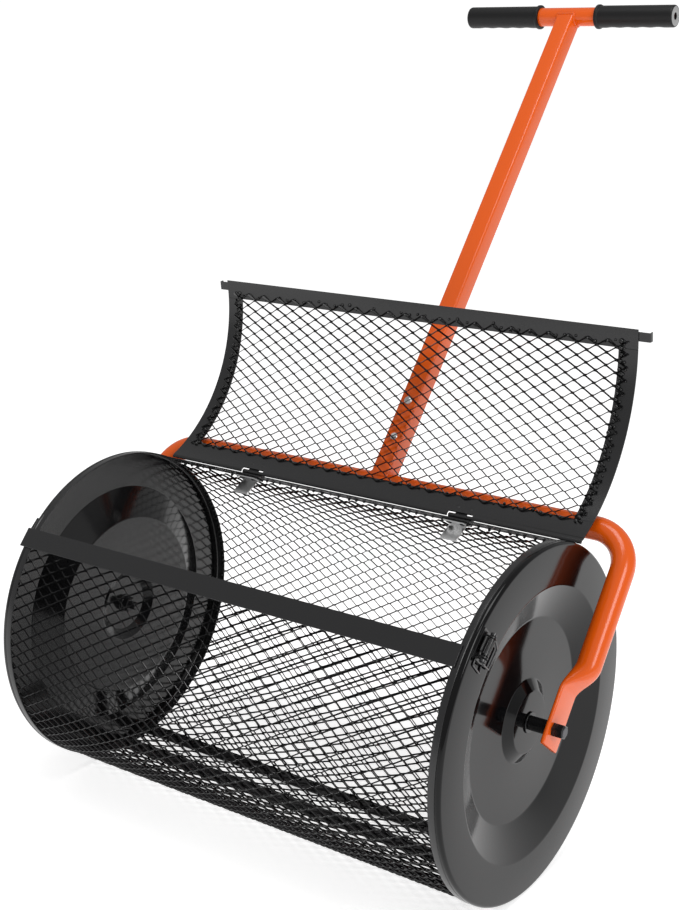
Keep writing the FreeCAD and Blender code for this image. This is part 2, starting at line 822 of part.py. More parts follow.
def clamp_nuts():
    nuts = []
    front = -tube_face - clamp_washer_thick
    for at_u in (upper_bolt_u, lower_bolt_u):
        corners = []
        for i in range(7):
            turn = math.radians(60.0 * i)
            corners.append(frame_vector(clamp_nut_r * math.cos(turn), at_u + clamp_nut_r * math.sin(turn),
                                        frame_offset + front - clamp_nut))
        body = Part.Face(Part.makePolygon(corners)).extrude(square_to_handle() * clamp_nut)
        nuts.append(body.cut(clamp_rod(at_u, clamp_bolt_r, front - clamp_nut - 1, front + 1)))
    return nuts


def t_bar():
    at = frame_vector(-tbar_half, tbar_u)
    bar = Part.makeCylinder(tbar_r, 2 * tbar_half, at, axis_x)
    return bar.cut(Part.makeCylinder(tbar_r - tbar_wall, 2 * tbar_half, at, axis_x))


def grip():
    """Right hand grip: a closed sleeve with a flange, end hole and four shallow finger grooves."""
    middle = frame_vector(0, tbar_u)
    outline = [
        (tbar_r, grip_from, 0),
        (grip_flange_r, grip_from, 1.2),
        (grip_flange_r, grip_from + grip_flange, 1.2),
        (grip_r, grip_from + grip_flange + 1.0, 0),
        (grip_r, grip_to, 3.0),
        (grip_hole_r, grip_to, 0),
        (grip_hole_r, grip_to - grip_end_wall, 0),
        (tbar_r, grip_to - grip_end_wall, 0),
    ]
    body = turned(outline)
    body.translate(Vector(0, middle.y, middle.z))
    for i in range(groove_count):
        at_x = groove_first + groove_pitch * i
        below = frame_vector(at_x, tbar_u, frame_offset - grip_r - groove_r + groove_depth)
        groove = Part.makeCylinder(groove_r, 60, below - along_handle() * 30, along_handle())
        body = body.cut(groove)
    return body


def axle_sleeve():
    return ring(sleeve_r, bolt_r + running_gap, sleeve_from, plate_in)


def axle_washers():
    washer = ring(washer_r, bolt_r + running_gap, outer_washer, sleeve_from)
    inner = ring(washer_r - 2.0, bolt_r + running_gap, inner_washer - washer_thick, inner_washer)
    return both_sides(washer) + both_sides(inner)


def each_hinge(builder):
    return [builder(middle) for middle in hinge_centres]


def rivet_row(angle, tail_r, seat_r, head):
    """Two rivets through each hinge."""
    rivets = []
    for middle in hinge_centres:
        for offset in (-rivet_offset, rivet_offset):
            rivets.append(rivet(angle, middle + offset, tail_r, seat_r, head))
    return rivets


def fixed_rivets():
    """Heads inside the drum, flush tails in the rear bar."""
    return rivet_row(fixed_rivet_angle, inner_bar[1], fixed_rivet_seat, fixed_rivet_head)


def door_rivets():
    return rivet_row(door_rivet_angle, door_inner, door_leaf[1], rivet_head)


def door_group(shapes):
    return as_group([opened(shape) for shape in shapes])


os.makedirs("parts", exist_ok=True)

# pairs made as a right piece and its mirror image
paired = {
    "end_disc": end_disc(),
    "rim_band": rim_band(),
    "latch_base": latch_base_plate(),
    "latch_lever": latch_lever(),
    "latch_bail": latch_bail(),
    "grip": grip(),
}
for name, shape in paired.items():
    write(name + "_right", shape)
    write(name + "_left", mirrored(shape))

# drum
write("hub_bushes", as_group(both_sides(hub_bush())))
write("drum_mesh", drum_mesh())
write("front_bar", front_bar())
write("rear_bar", cut_rivet_holes(inner_flat_bar(rear_bar), fixed_rivet_angle))
write("lower_bar_front", inner_flat_bar(lower_front_bar))
write("lower_bar_rear", inner_flat_bar(lower_rear_bar))
write("hinge_fixed_leaves", as_group(each_hinge(fixed_hinge_leaf)))
write("hinge_brackets", as_group(each_hinge(hinge_bracket)))
write("hinge_rivets", as_group(fixed_rivets()))
write("latch_pins", as_group(both_sides(latch_pin())))
write("latch_rivets", as_group(latch_rivets() + [mirrored(head) for head in latch_rivets()]))
write("latch_keepers", as_group(both_sides(latch_keeper())))

# door, written open
write("door_top_rail", opened(top_rail()))
write("door_bottom_rail", opened(bottom_rail()))
write("door_side_rail_right", opened(side_rail()))
write("door_side_rail_left", opened(mirrored(side_rail())))
write("door_mesh", opened(door_mesh()))
write("catch_tabs", door_group(both_sides(catch_tab())))
write("hinge_door_leaves", door_group(each_hinge(door_hinge_leaf)))
write("hinge_pins", door_group(each_hinge(hinge_pin)))
write("door_rivets", door_group(door_rivets()))

# handle frame and axles
write("yoke_tube", yoke_tube())
write("handle_stub", handle_stub())
write("handle_tube", handle_tube())
write("t_bar", t_bar())
write("handle_bolts", as_group(clamp_bolts()))
write("handle_washers", as_group(clamp_washers()))
write("handle_nuts", as_group(clamp_nuts()))
write("axle_bolts", as_group(both_sides(axle_bolt())))
write("axle_sleeves", as_group(both_sides(axle_sleeve())))
write("axle_washers", as_group(axle_washers()))
write("axle_nuts", as_group(both_sides(axle_nut())))
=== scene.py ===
"""Looks for the rolling drum soil sieve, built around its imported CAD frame.

Shapes are drawn in millimetres about the drum axle, as in the CAD source, and put into the row frame in
metres by place().  Angles in the drum's plane are degrees from +Y towards +Z.
"""
import json
import math
import random

import bmesh
import bpy
from mathutils import Matrix, Vector


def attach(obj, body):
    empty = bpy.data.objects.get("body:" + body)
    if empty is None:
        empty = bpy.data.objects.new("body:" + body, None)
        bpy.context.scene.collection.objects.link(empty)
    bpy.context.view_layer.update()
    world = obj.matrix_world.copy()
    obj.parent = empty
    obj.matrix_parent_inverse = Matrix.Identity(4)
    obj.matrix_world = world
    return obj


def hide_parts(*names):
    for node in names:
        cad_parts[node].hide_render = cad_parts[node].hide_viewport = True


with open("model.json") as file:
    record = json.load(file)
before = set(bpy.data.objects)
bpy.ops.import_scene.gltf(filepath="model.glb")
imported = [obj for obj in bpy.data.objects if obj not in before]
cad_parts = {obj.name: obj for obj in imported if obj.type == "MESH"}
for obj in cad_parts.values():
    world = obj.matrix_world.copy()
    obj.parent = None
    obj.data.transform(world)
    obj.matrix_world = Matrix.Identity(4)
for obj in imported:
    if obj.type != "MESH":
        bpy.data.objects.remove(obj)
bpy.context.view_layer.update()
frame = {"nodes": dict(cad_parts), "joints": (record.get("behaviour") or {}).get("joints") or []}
joints = {joint["name"]: joint for joint in frame["joints"]}

# ---- driving dimensions, in millimetres ----
MM = 0.001
axle_height = joints["drum_roll"]["pos_m"][2] / MM
drum_radius = axle_height
hinge_y = joints["door_hinge"]["pos_m"][1] / MM
hinge_z = joints["door_hinge"]["pos_m"][2] / MM - axle_height
hinge_angle = math.degrees(math.atan2(hinge_z, hinge_y))
door_open = joints["door_hinge"]["range_deg"][1]
latch_x, latch_y, latch_z = [value / MM for value in joints["latch_lever_right_hinge"]["pos_m"]]
latch_z -= axle_height
latch_r = math.hypot(latch_y, latch_z)
latch_angle = math.degrees(math.atan2(latch_z, latch_y))

sheet = 1.5
rim_face = 308.6
floor_face = 291.8
hub_face = 299.0
disc_seam = 302.4
band_inner = 294.4
outer_r = drum_radius - 0.06         # keeps the finer circles inside the CAD's own

cell_long = 25.1             # expanded metal diamond, along the axle
drum_cell = 14.68            # and around the drum
door_cell = 14.92
strand_width = 2.05
strand_thick = 1.12

lean = 50.6
frame_offset = -7.0
yoke_r = 14.0
arm_x = 340.0
cross_u = 235.0
bend_r = 46.0
tbar_u = 961.0
tbar_r = 12.5
tbar_bore = 10.5
tbar_half = 152.5
handle_side = 25.0
upper_bolt_u = 347.0
lower_bolt_u = 296.0


# ---- places ----
def place(x, y, z):
    """Axle-centred millimetres to row-frame metres."""
    return Vector((x * MM, y * MM, (z + axle_height) * MM))


def polar(x, radius, angle):
    turn = math.radians(angle)
    return Vector((x, radius * math.cos(turn), radius * math.sin(turn)))


def on_frame(x, u, n=frame_offset):
    """Across, along the handle from the axle, and square to its front, in millimetres."""
    slope = math.radians(lean)
    return Vector((x, u * math.cos(slope) - n * math.sin(slope), u * math.sin(slope) + n * math.cos(slope)))


along = on_frame(0, 1, 0)
square = on_frame(0, 0, 1)
across = Vector((1, 0, 0))


def on_latch(angle, radius, t, x):
    """Radial, tangential and axial place beside a latch."""
    base = polar(x, radius, angle)
    turn = math.radians(angle)
    return base + Vector((0, -math.sin(turn), math.cos(turn))) * t


def door_turn(point, degrees=-door_open):
    """Door places are drawn shut and turned open about the hinge."""
    hinge = Vector((0, hinge_y, hinge_z))
    return hinge + Matrix.Rotation(math.radians(degrees), 3, "X") @ (point - hinge)


# ---- mesh building ----
class Shape:
    """Vertices in millimetres and faces, gathered from several solids."""

    def __init__(self):
        self.verts = []
        self.faces = []

    def add(self, verts, faces):
        start = len(self.verts)
        self.verts.extend(verts)
        self.faces.extend([tuple(start + i for i in face) for face in faces])
        return self

    def join(self, other):
        return self.add(other.verts, other.faces)

    def moved(self, change):
        result = Shape()
        result.verts = [change(vert) for vert in self.verts]
        result.faces = list(self.faces)
        return result

    def mirrored(self):
        result = Shape()
        result.verts = [Vector((-v.x, v.y, v.z)) for v in self.verts]
        result.faces = [tuple(reversed(face)) for face in self.faces]
        return result


def both_sides(shape):
    return Shape().join(shape).join(shape.mirrored())


def opened(shape):
    return shape.moved(door_turn)


def loft(rings, closed_ring=True, cap=True, closed_path=False):
    """Skin through rings of the same number of points."""
    shape = Shape()
    count = len(rings[0])
    verts = [point for ring in rings for point in ring]
    faces = []
    spans = len(rings) if closed_path else len(rings) - 1
    for i in range(spans):
        a = i * count
        b = ((i + 1) % len(rings)) * count
        for j in range(count if closed_ring else count - 1):
            k = (j + 1) % count
            faces.append((a + j, a + k, b + k, b + j))
    if cap and not closed_path:
        faces.append(tuple(reversed(range(count))))
        faces.append(tuple(range(len(verts) - count, len(verts))))
    return shape.add(verts, faces)


def rounded(points, steps=5):
    """(a, b, radius) corners to a closed outline of (a, b), each corner turned into an arc."""
    outline = []
    count = len(points)
    for i in range(count):
        here = Vector(points[i][:2])
        before = (Vector(points[i - 1][:2]) - here).normalized()
        after = (Vector(points[(i + 1) % count][:2]) - here).normalized()
        radius = points[i][2]
        half = before.angle(after) / 2
        if radius <= 0 or half > math.radians(89):
            outline.append(tuple(here))
            continue
        middle = here + (before + after).normalized() * (radius / math.sin(half))
        start = here + before * (radius / math.tan(half)) - middle
        stop = here + after * (radius / math.tan(half)) - middle
        sweep = start.angle_signed(stop)
        for k in range(steps + 1):
            turn = sweep * k / steps
            arm = Vector((start.x * math.cos(turn) + start.y * math.sin(turn),
                          -start.x * math.sin(turn) + start.y * math.cos(turn)))
            outline.append(tuple(middle + arm))
    return outline


def turned(outline, segments=160, y=0.0, z=0.0):
    """Solid of revolution along X from a closed (radius, x) outline."""
    rings = []
    for i in range(segments):
        turn = 2 * math.pi * i / segments
        rings.append([Vector((x, y + r * math.cos(turn), z + r * math.sin(turn))) for r, x in outline])
    return loft(rings, closed_path=True)


def tube(points, radius, sides=16, closed=False, flat=1.0, up=None):
    """Round wire or bar through points."""
    rings = []
    count = len(points)
    side_way = None
    for i, point in enumerate(points):
        before = points[i - 1] if (closed or i > 0) else point
        after = points[(i + 1) % count] if (closed or i < count - 1) else point
        way = (after - before).normalized()
        if side_way is None:
            guess = up or (Vector((0, 0, 1)) if abs(way.z) < 0.9 else Vector((0, 1, 0)))
            side_way = way.cross(guess).normalized()
        side_way = (side_way - way * side_way.dot(way)).normalized()
        up_way = way.cross(side_way)
        rings.append([point + side_way * (radius * math.cos(2 * math.pi * k / sides))
                      + up_way * (radius * flat * math.sin(2 * math.pi * k / sides)) for k in range(sides)])
    return loft(rings, closed_path=closed)


def smooth_path(points, radius=3.0, steps=5):
    """Path with its inner corners rounded."""
    path = [points[0]]
    for i in range(1, len(points) - 1):
        here = points[i]
        before = points[i - 1] - here
        after = points[i + 1] - here
        reach = min(radius, before.length * 0.45, after.length * 0.45)
        start = here + before.normalized() * reach
        stop = here + after.normalized() * reach
        for k in range(steps + 1):
            s = k / steps
            path.append(start * (1 - s) ** 2 + here * (2 * s * (1 - s)) + stop * s ** 2)
    path.append(points[-1])
    return path


def rod(start, stop, radius, chamfer=0.3, sides=40, bore=0.0):
    """Cylinder with broken edges, or a ring if it has a bore."""
    way = (stop - start).normalized()
    length = (stop - start).length
    spin = way.to_track_quat("X", "Z").to_matrix()
    outline = [(radius - chamfer, 0), (radius, chamfer),
               (radius, length - chamfer), (radius - chamfer, length)]
    if bore > 0:
        outline += [(bore, length), (bore, 0)]
    rings = []
    for i in range(sides):
        turn = 2 * math.pi * i / sides
        rings.append([start + spin @ Vector((x, r * math.cos(turn), r * math.sin(turn))) for r, x in outline])
    if bore > 0:
        return loft(rings, closed_path=True)
    shape = loft(rings, closed_ring=False, closed_path=True)
    count = len(outline)
    shape.faces.append(tuple(i * count for i in range(sides)))
    shape.faces.append(tuple(reversed([i * count + count - 1 for i in range(sides)])))
    return shape


def dome(centre, way, radius, height, sides=40, steps=8):
    """Rounded rivet or bolt head."""
    way = way.normalized()
    spin = way.to_track_quat("X", "Z").to_matrix()
    shape = Shape()
    outline = [(radius * math.cos(math.pi / 2 * k / steps), height * math.sin(math.pi / 2 * k / steps))
               for k in range(steps)]
    rings = []
    for r, x in outline:
        rings.append([centre + spin @ Vector((x, r * math.cos(2 * math.pi * i / sides),
                                              r * math.sin(2 * math.pi * i / sides))) for i in range(sides)])
    shape = loft(rings, cap=False)
    top = len(shape.verts)
    shape.verts.append(centre + way * height)
    last = top - sides
    for i in range(sides):
        shape.faces.append((last + i, last + (i + 1) % sides, top))
    shape.faces.append(tuple(reversed(range(sides))))
    return shape


def hexagon(centre, way, corner_r, height, chamfer=0.8, spin_deg=0.0):
    """Hexagon head with its corners turned off at the far end."""
    way = way.normalized()
    spin = way.to_track_quat("X", "Z").to_matrix()
    levels = [(0, 1.0), (height - chamfer, 1.0), (height, 0.90)]
    rings = []
    for level, scale in levels:
        ring = []
        for i in range(6):
            turn = math.radians(60 * i + spin_deg)
            ring.append(centre + spin @ Vector((level, corner_r * scale * math.cos(turn),
                                                corner_r * scale * math.sin(turn))))
        rings.append(ring)
    return loft(rings)


def box(corner_at, a0, a1, b0, b1, c0, c1):
    """Box whose corners are corner_at(a, b, c)."""
    shape = Shape()
    verts = [corner_at(a, b, c) for a in (a0, a1) for b in (b0, b1) for c in (c0, c1)]
    faces = [(0, 1, 3, 2), (4, 6, 7, 5), (0, 4, 5, 1), (2, 3, 7, 6), (0, 2, 6, 4), (1, 5, 7, 3)]
    return shape.add(verts, faces)


def rolled(inner, outer, angle_from, angle_to, x_from, x_to, step=1.5):
    """Sheet rolled about the axle, split along its length so that long faces stay flat."""
    rings = []
    spans = max(2, int(abs(angle_to - angle_from) / step))
    for i in range(spans + 1):
        angle = angle_from + (angle_to - angle_from) * i / spans
        rings.append([polar(x_from, inner, angle), polar(x_to, inner, angle),
                      polar(x_to, outer, angle), polar(x_from, outer, angle)])
    return loft(rings)


def blob(centre, way, radius, height, rng, sides=9):
    """Small weld bead."""
    way = way.normalized()
    spin = way.to_track_quat("X", "Z").to_matrix()
    shape = Shape()
    rings = []
    for lift, scale in ((0.0, 1.0), (0.45, 0.92), (0.85, 0.60)):
        ring = []
        for i in range(sides):
            turn = 2 * math.pi * i / sides
            reach = radius * scale * rng.uniform(0.86, 1.14)
            offset = Vector((height * lift, reach * math.cos(turn), reach * math.sin(turn)))
            ring.append(centre + spin @ offset)
        rings.append(ring)
    shape = loft(rings, cap=False)
    top = len(shape.verts)
    shape.verts.append(centre + way * height)
    for i in range(sides):
        shape.faces.append((2 * sides + i, 2 * sides + (i + 1) % sides, top))
    return shape


# ---- materials ----
def linear(red, green, blue):
    """Colour as seen on a screen, 0 to 255, to the shader's own scale."""
    values = []
    for value in (red, green, blue):
        c = value / 255
        values.append(c / 12.92 if c <= 0.04045 else ((c + 0.055) / 1.055) ** 2.4)
    return (*values, 1.0)


grain_height = 0.0002
mottle_size = 22.0


def material(name, colour, rough, metallic=0.0, specular=0.5, grain=0.0, grain_size=900.0, mottle=0.0):
    """Principled paint, steel or rubber with an optional fine grain and a slightly uneven roughness."""
    made = bpy.data.materials.new(name)
    made.use_nodes = True
    nodes = made.node_tree.nodes
    links = made.node_tree.links
    shader = nodes["Principled BSDF"]
    shader.inputs["Base Color"].default_value = colour
    shader.inputs["Roughness"].default_value = rough
    shader.inputs["Metallic"].default_value = metallic
    shader.inputs["Specular IOR Level"].default_value = specular
    place_node = nodes.new("ShaderNodeTexCoord")
    if grain > 0:
        noise = nodes.new("ShaderNodeTexNoise")
        noise.inputs["Scale"].default_value = grain_size
        noise.inputs["Detail"].default_value = 3.0
        bump = nodes.new("ShaderNodeBump")
        bump.inputs["Strength"].default_value = grain
        bump.inputs["Distance"].default_value = grain_height
        links.new(place_node.outputs["Object"], noise.inputs["Vector"])
        links.new(noise.outputs["Fac"], bump.inputs["Height"])
        links.new(bump.outputs["Normal"], shader.inputs["Normal"])
    if mottle > 0:
        cloud = nodes.new("ShaderNodeTexNoise")
        cloud.inputs["Scale"].default_value = mottle_size
        cloud.inputs["Detail"].default_value = 4.0
        spread = nodes.new("ShaderNodeMapRange")
        spread.inputs["To Min"].default_value = rough - mottle
        spread.inputs["To Max"].default_value = rough + mottle
        links.new(place_node.outputs["Object"], cloud.inputs["Vector"])
        links.new(cloud.outputs["Fac"], spread.inputs["Value"])
        links.new(spread.outputs["Result"], shader.inputs["Roughness"])
    return made


orange = material("orange_powder_coat", linear(222, 88, 10), 0.20, specular=0.45, grain=0.08,
                  grain_size=700.0, mottle=0.04)
gloss_black = material("gloss_black_enamel", linear(7, 7, 8), 0.09, specular=0.23, grain=0.02,
                       grain_size=260.0)
# lighter, glossier copy of the disc enamel for the left disc: painted light, standing in for the brighter
# reflections its inner face shows through the mesh; the real discs are surely painted alike
gloss_black_lit_copy = material("gloss_black_enamel_left_lit_copy", linear(12, 12, 13), 0.12, specular=0.5, grain=0.02,
                            grain_size=260.0)
satin_black = material("satin_black_coat", linear(26, 26, 27), 0.25, specular=0.50, grain=0.08, mottle=0.05)
mesh_black = material("mesh_black_coat", linear(7, 7, 8), 0.22, specular=0.3)
weld_black = material("weld_black_coat", linear(8, 8, 9), 0.07)
rubber = material("grip_rubber", linear(15, 15, 16), 0.46, specular=0.3, grain=0.30, grain_size=1400.0)
grip_ring = material("grip_end_grey", linear(150, 150, 150), 0.45)
axle_black = material("axle_black_oxide", linear(12, 12, 13), 0.26, specular=0.4, mottle=0.05)
bolt_grey = material("bolt_end_grey", linear(66, 66, 70), 0.38, metallic=0.6)
latch_black = material("latch_black_zinc", linear(11, 11, 12), 0.22, specular=0.5, mottle=0.05)
wire_steel = material("latch_wire", linear(30, 30, 32), 0.22, specular=0.7)
plated = material("bright_zinc", linear(226, 226, 226), 0.30, metallic=1.0, mottle=0.06)


# ---- objects ----
def make(name, shape, paint, body, replaces=(), bevel=0.0, sharp=32.0, flat=False):
    """Turn a shape into a Blender object that rides on a CAD body."""
    mesh = bpy.data.meshes.new(name)
    mesh.from_pydata([place(v.x, v.y, v.z) for v in shape.verts], [], shape.faces)
    mesh.update()
    work = bmesh.new()
    work.from_mesh(mesh)
    bmesh.ops.remove_doubles(work, verts=work.verts, dist=2e-6)
    if not flat:
        bmesh.ops.recalc_face_normals(work, faces=work.faces)
    work.to_mesh(mesh)
    work.free()
    mesh.materials.append(paint)
    thing = bpy.data.objects.new(name, mesh)
    bpy.context.scene.collection.objects.link(thing)
    if not flat:
        mesh.shade_smooth()
        mesh.set_sharp_from_angle(angle=math.radians(sharp))
    if bevel > 0:
        edge = thing.modifiers.new("edge", "BEVEL")
        edge.width = bevel * MM
        edge.segments = 3
        edge.limit_method = "ANGLE"
        edge.angle_limit = math.radians(sharp)
        edge.harden_normals = True
    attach(thing, body)
    if replaces:
        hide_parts(*replaces)
    return thing


def paint_node(name, paint, bevel=0.0, sharp=28.0):
    """Keep a CAD node's shape and give it a finish."""
    thing = frame["nodes"][name]
    thing.data.materials.clear()
    thing.data.materials.append(paint)
    thing.data.shade_smooth()
    thing.data.set_sharp_from_angle(angle=math.radians(sharp))
    if bevel > 0:
        edge = thing.modifiers.new("edge", "BEVEL")
        edge.width = bevel * MM
        edge.segments = 2
        edge.limit_method = "ANGLE"
        edge.angle_limit = math.radians(50)
    return thing


# ---- expanded metal ----
def expanded_metal(spot, x_low, x_high, s_low, s_high, cell, x_phase, s_phase, tilt):
    """Slit and stretched sheet: bands that swing between rows of bonds, each band leaning by tilt.

    spot(x, s, n) gives the place; s runs around the drum and n outwards.
    """
    half_cell = cell / 2
    lean_s = math.cos(math.radians(tilt))
    lean_n = math.sin(math.radians(tilt))
    bond = 1.3
    half_long = cell_long / 2
    stops = ((0.55 * bond, 0.0), (bond + 0.6, 0.06),
             (half_long - bond - 0.6, 0.94), (half_long - 0.55 * bond, 1.0))

    def swing(x, shift):
        """0 on the lower row of bonds, 1 on the upper row."""
        u = abs((x - shift + half_long) % cell_long - half_long)
        known = [(0.0, 0.0)] + list(stops) + [(half_long, 1.0)]
        for (u0, v0), (u1, v1) in zip(known, known[1:]):
            if u <= u1:
                return v0 + (v1 - v0) * (u - u0) / (u1 - u0)
        return 1.0

    shape = Shape()
    first = math.ceil((s_low - s_phase) / half_cell)
    last = math.floor((s_high - s_phase) / half_cell)
    for row in range(first, last):
        low_s = s_phase + row * half_cell
        shift = x_phase + (half_long if row % 2 else 0.0)
        stations = [x_low]
        turn = math.floor((x_low - shift) / half_long)
        while shift + turn * half_long < x_high:
            for u, _ in stops:
                x = shift + turn * half_long + u
                if x_low + 0.2 < x < x_high - 0.2:
                    stations.append(x)
            turn += 1
        stations.append(x_high)
        rings = []
        for x in stations:
            v = swing(x, shift)
            reach = strand_width / 2 * (1 - 2 * v)
            s_mid = low_s + half_cell * v + reach * lean_s
            n_mid = reach * lean_n
            ring = []
            for a, b in ((-1, -1), (1, -1), (1, 1), (-1, 1)):
                along_band = a * strand_width / 2
                through = b * strand_thick / 2
                ring.append(spot(x, s_mid + along_band * lean_s - through * lean_n,
                                 n_mid + along_band * lean_n + through * lean_s))
            rings.append(ring)
        shape.join(loft(rings))
    return shape


drum_mesh_r = 196.7
door_mesh_r = 198.6


def drum_spot(x, s, n):
    return polar(x, drum_mesh_r + n, math.degrees(s / drum_mesh_r))


def door_spot(x, s, n):
    return door_turn(polar(x, door_mesh_r + n, math.degrees(s / door_mesh_r)))


def arc_length(angle, radius):
    return math.radians(angle) * radius


drum_mesh_from = 137.4
drum_mesh_to = 417.2
drum_strands = expanded_metal(drum_spot, -298.0, 298.0, arc_length(drum_mesh_from, drum_mesh_r),
                              arc_length(drum_mesh_to, drum_mesh_r), drum_cell, 11.9, 3.7, -56.0)
make("drum_expanded_metal", drum_strands, mesh_black, "drum", ["drum_mesh"], flat=True)
door_from = 64.3
door_to = 130.4
door_strands = expanded_metal(door_spot, -288.0, 288.0, arc_length(door_from, door_mesh_r),
                              arc_length(door_to, door_mesh_r), door_cell, 11.3, 433.5 - 7 * door_cell, 58.0)
make("door_expanded_metal", door_strands, mesh_black, "door", ["door_mesh"], flat=True)


# ---- drum ends ----
def disc_outline():
    return rounded([
        (8.0, hub_face, 0), (35.0, hub_face, 3.5), (47.5, floor_face, 3.5), (115.0, floor_face, 6.0),
        (153.5, rim_face, 6.0), (outer_r, rim_face, 4.0),
        (outer_r, disc_seam + 0.8, 0.4), (outer_r - 0.9, disc_seam, 0), (drum_radius - sheet, disc_seam, 0),
        (drum_radius - sheet, rim_face - sheet, 2.5),
        (153.9, rim_face - sheet, 4.5), (115.4, floor_face - sheet, 7.5),
        (46.8, floor_face - sheet, 4.0), (34.3, hub_face - sheet, 2.0), (8.0, hub_face - sheet, 0),
    ], steps=6)


def band_outline():
    return rounded([
        (drum_radius - sheet, band_inner, 0), (outer_r - 0.4, band_inner, 0.3),
        (outer_r, band_inner + 0.4, 0.3), (outer_r, disc_seam - 0.8, 0.4),
        (outer_r - 0.9, disc_seam, 0), (drum_radius - sheet, disc_seam, 0),
    ], steps=3)


def drum_ends():
    disc = turned(disc_outline(), segments=240)
    band = turned(band_outline(), segments=240)
    bush = turned(rounded([
        (5.05, 299.0, 0), (8.0, 299.0, 0.3), (8.0, 297.5, 0), (12.0, 297.5, 0.4), (12.0, 296.0, 0.4),
        (5.05, 296.0, 0)], steps=2), segments=48)
    # the left disc takes the lighter copy of the enamel, whose extra brightness is painted reflection
    for side, node, enamel in ((1, "right", gloss_black), (-1, "left", gloss_black_lit_copy)):
        turn = (lambda shape: shape) if side > 0 else (lambda shape: shape.mirrored())
        make("disc_" + node, turn(disc), enamel, "drum", ["end_disc_" + node])
        make("band_" + node, turn(band), satin_black, "drum", ["rim_band_" + node])
    make("bushes", both_sides(bush), axle_black, "drum", ["hub_bushes"])


drum_ends()


# ---- bars and rails ----
front_bar_angle = 139.0
front_bar_width = 24.0
inner_bar_in = 198.45
inner_bar_out = 199.9
inner_bar_half = 294.1


def bars():
    def bar_corner(t, r, x):
        return on_latch(front_bar_angle, r, t, x)

    front = box(bar_corner, -front_bar_width / 2, front_bar_width / 2, 200.05, 202.05, -311.0, 298.0)
    make("front_flat_bar", front, satin_black, "drum", ["front_bar"], bevel=0.5)
    for name, node, low, high in (("rear_rolled_bar", "rear_bar", 57.0, 63.9),
                                  ("lower_front_rolled_bar", "lower_bar_front", 264.8, 271.7),
                                  ("lower_rear_rolled_bar", "lower_bar_rear", 277.8, 283.4)):
        bar = rolled(inner_bar_in, inner_bar_out, low, high, -inner_bar_half, inner_bar_half, step=0.8)
        make(name, bar, satin_black, "drum", [node], bevel=0.35)


hinge_middles = (-166.0, 143.0)
hinge_half = 16.0
knuckle_half = 7.7
knuckle_r = 3.0
pin_r = 1.6
rail_width = 24.0
rail_in = 200.4
rail_out = 201.9
rail_degrees = math.degrees(rail_width / rail_out)
rail_half = 300.0
rail_low = 59.4
rail_high = 133.8
curl_in = 3.1                # the bottom rail's curl, from the hinge axis
curl_out = 4.6
curl_turn = 65.0
curl_steps = 12


def curled_rail():
    """Bottom rail with its lower edge curled about the hinge axis and notched for the hinges."""
    shape = Shape()
    notch = hinge_half + 0.6
    behind_notch = hinge_angle + 0.9
    edges = [-rail_half]
    for middle in hinge_middles:
        edges += [middle - notch, middle + notch]
    edges.append(rail_half)
    shape.join(rolled(rail_in, rail_out, behind_notch, rail_low + rail_degrees, -rail_half, rail_half,
                      step=0.8))
    for i in range(0, len(edges), 2):
        rings = []
        for k in range(curl_steps + 1):
            turn = math.radians(hinge_angle + 180.0 + curl_turn * (curl_steps - k) / curl_steps)
            way = Vector((0, math.cos(turn), math.sin(turn)))
            hinge = Vector((0, hinge_y, hinge_z))
            rings.append([hinge + way * reach + across * x
                          for reach, x in ((curl_in, edges[i]), (curl_in, edges[i + 1]),
                                           (curl_out, edges[i + 1]), (curl_out, edges[i]))])
        rings.append([polar(x, r, behind_notch)
                      for r, x in ((rail_out, edges[i]), (rail_out, edges[i + 1]), (rail_in, edges[i + 1]),
                                   (rail_in, edges[i]))])
        shape.join(loft(rings))
    return shape


def rails():
    low = opened(curled_rail())
    high = opened(rolled(rail_in, rail_out, rail_high - rail_degrees, rail_high, -rail_half, rail_half,
                         step=0.8))
    make("bottom_rail", low, satin_black, "door", ["door_bottom_rail"], bevel=0.35)
    make("top_rail", high, satin_black, "door", ["door_top_rail"], bevel=0.35)
    side = rolled(rail_in, rail_out, rail_low + rail_degrees, rail_high - rail_degrees,
                  rail_half - rail_width, rail_half, step=1.0)
    make("side_rail_right", opened(side), satin_black, "door", ["door_side_rail_right"],
         bevel=0.35)
    make("side_rail_left", opened(side.mirrored()), satin_black, "door",
         ["door_side_rail_left"], bevel=0.35)


bars()
rails()


seat = rail_out + 0.05       # leaves and tabs lie on the rails
tab_angle = 131.3
tab_half = 5.5
tab_start = 288.0
tab_end = 314.5
tab_top = 208.05


def tab_shape():
    """Catch tab on the top rail's end: a strip with a turned-up lip."""
    outline = rounded([
        (tab_start, seat, 0), (tab_end, seat, 1.6), (tab_end, tab_top, 0.3), (tab_end - sheet, tab_top, 0.3),
        (tab_end - sheet, seat + sheet, 0.4), (tab_start, seat + sheet, 0)], steps=4)
    rings = []
    for t in (-tab_half, tab_half):
        rings.append([on_latch(tab_angle, r, t, x) for x, r in outline])
    return loft(rings)


make("tabs", opened(both_sides(tab_shape())), satin_black, "door", ["catch_tabs"],
     bevel=0.25)


# ---- hinges ----
def knuckle(x_from, x_to):
    a = Vector((x_from, hinge_y, hinge_z))
    b = Vector((x_to, hinge_y, hinge_z))
    return rod(a, b, knuckle_r, chamfer=0.35, bore=pin_r)


foot_in = 196.9              # the fixed leaf's foot, inside the rear bar
foot_out = 198.4
foot_from = 56.55
foot_to = 61.9
leg_to = 56.98
leaf_top = 204.6
fixed_rivet_angle = 59.9
door_rivet_angle = 61.2
rivet_offset = 9.0
rivet_r = 3.4
pin_half = 16.4
bracket_in = 195.35
bracket_out = 196.85
bracket_from = 57.9
bracket_half = 14.0
tab_way = 207.0              # the way that a bracket's tab hangs


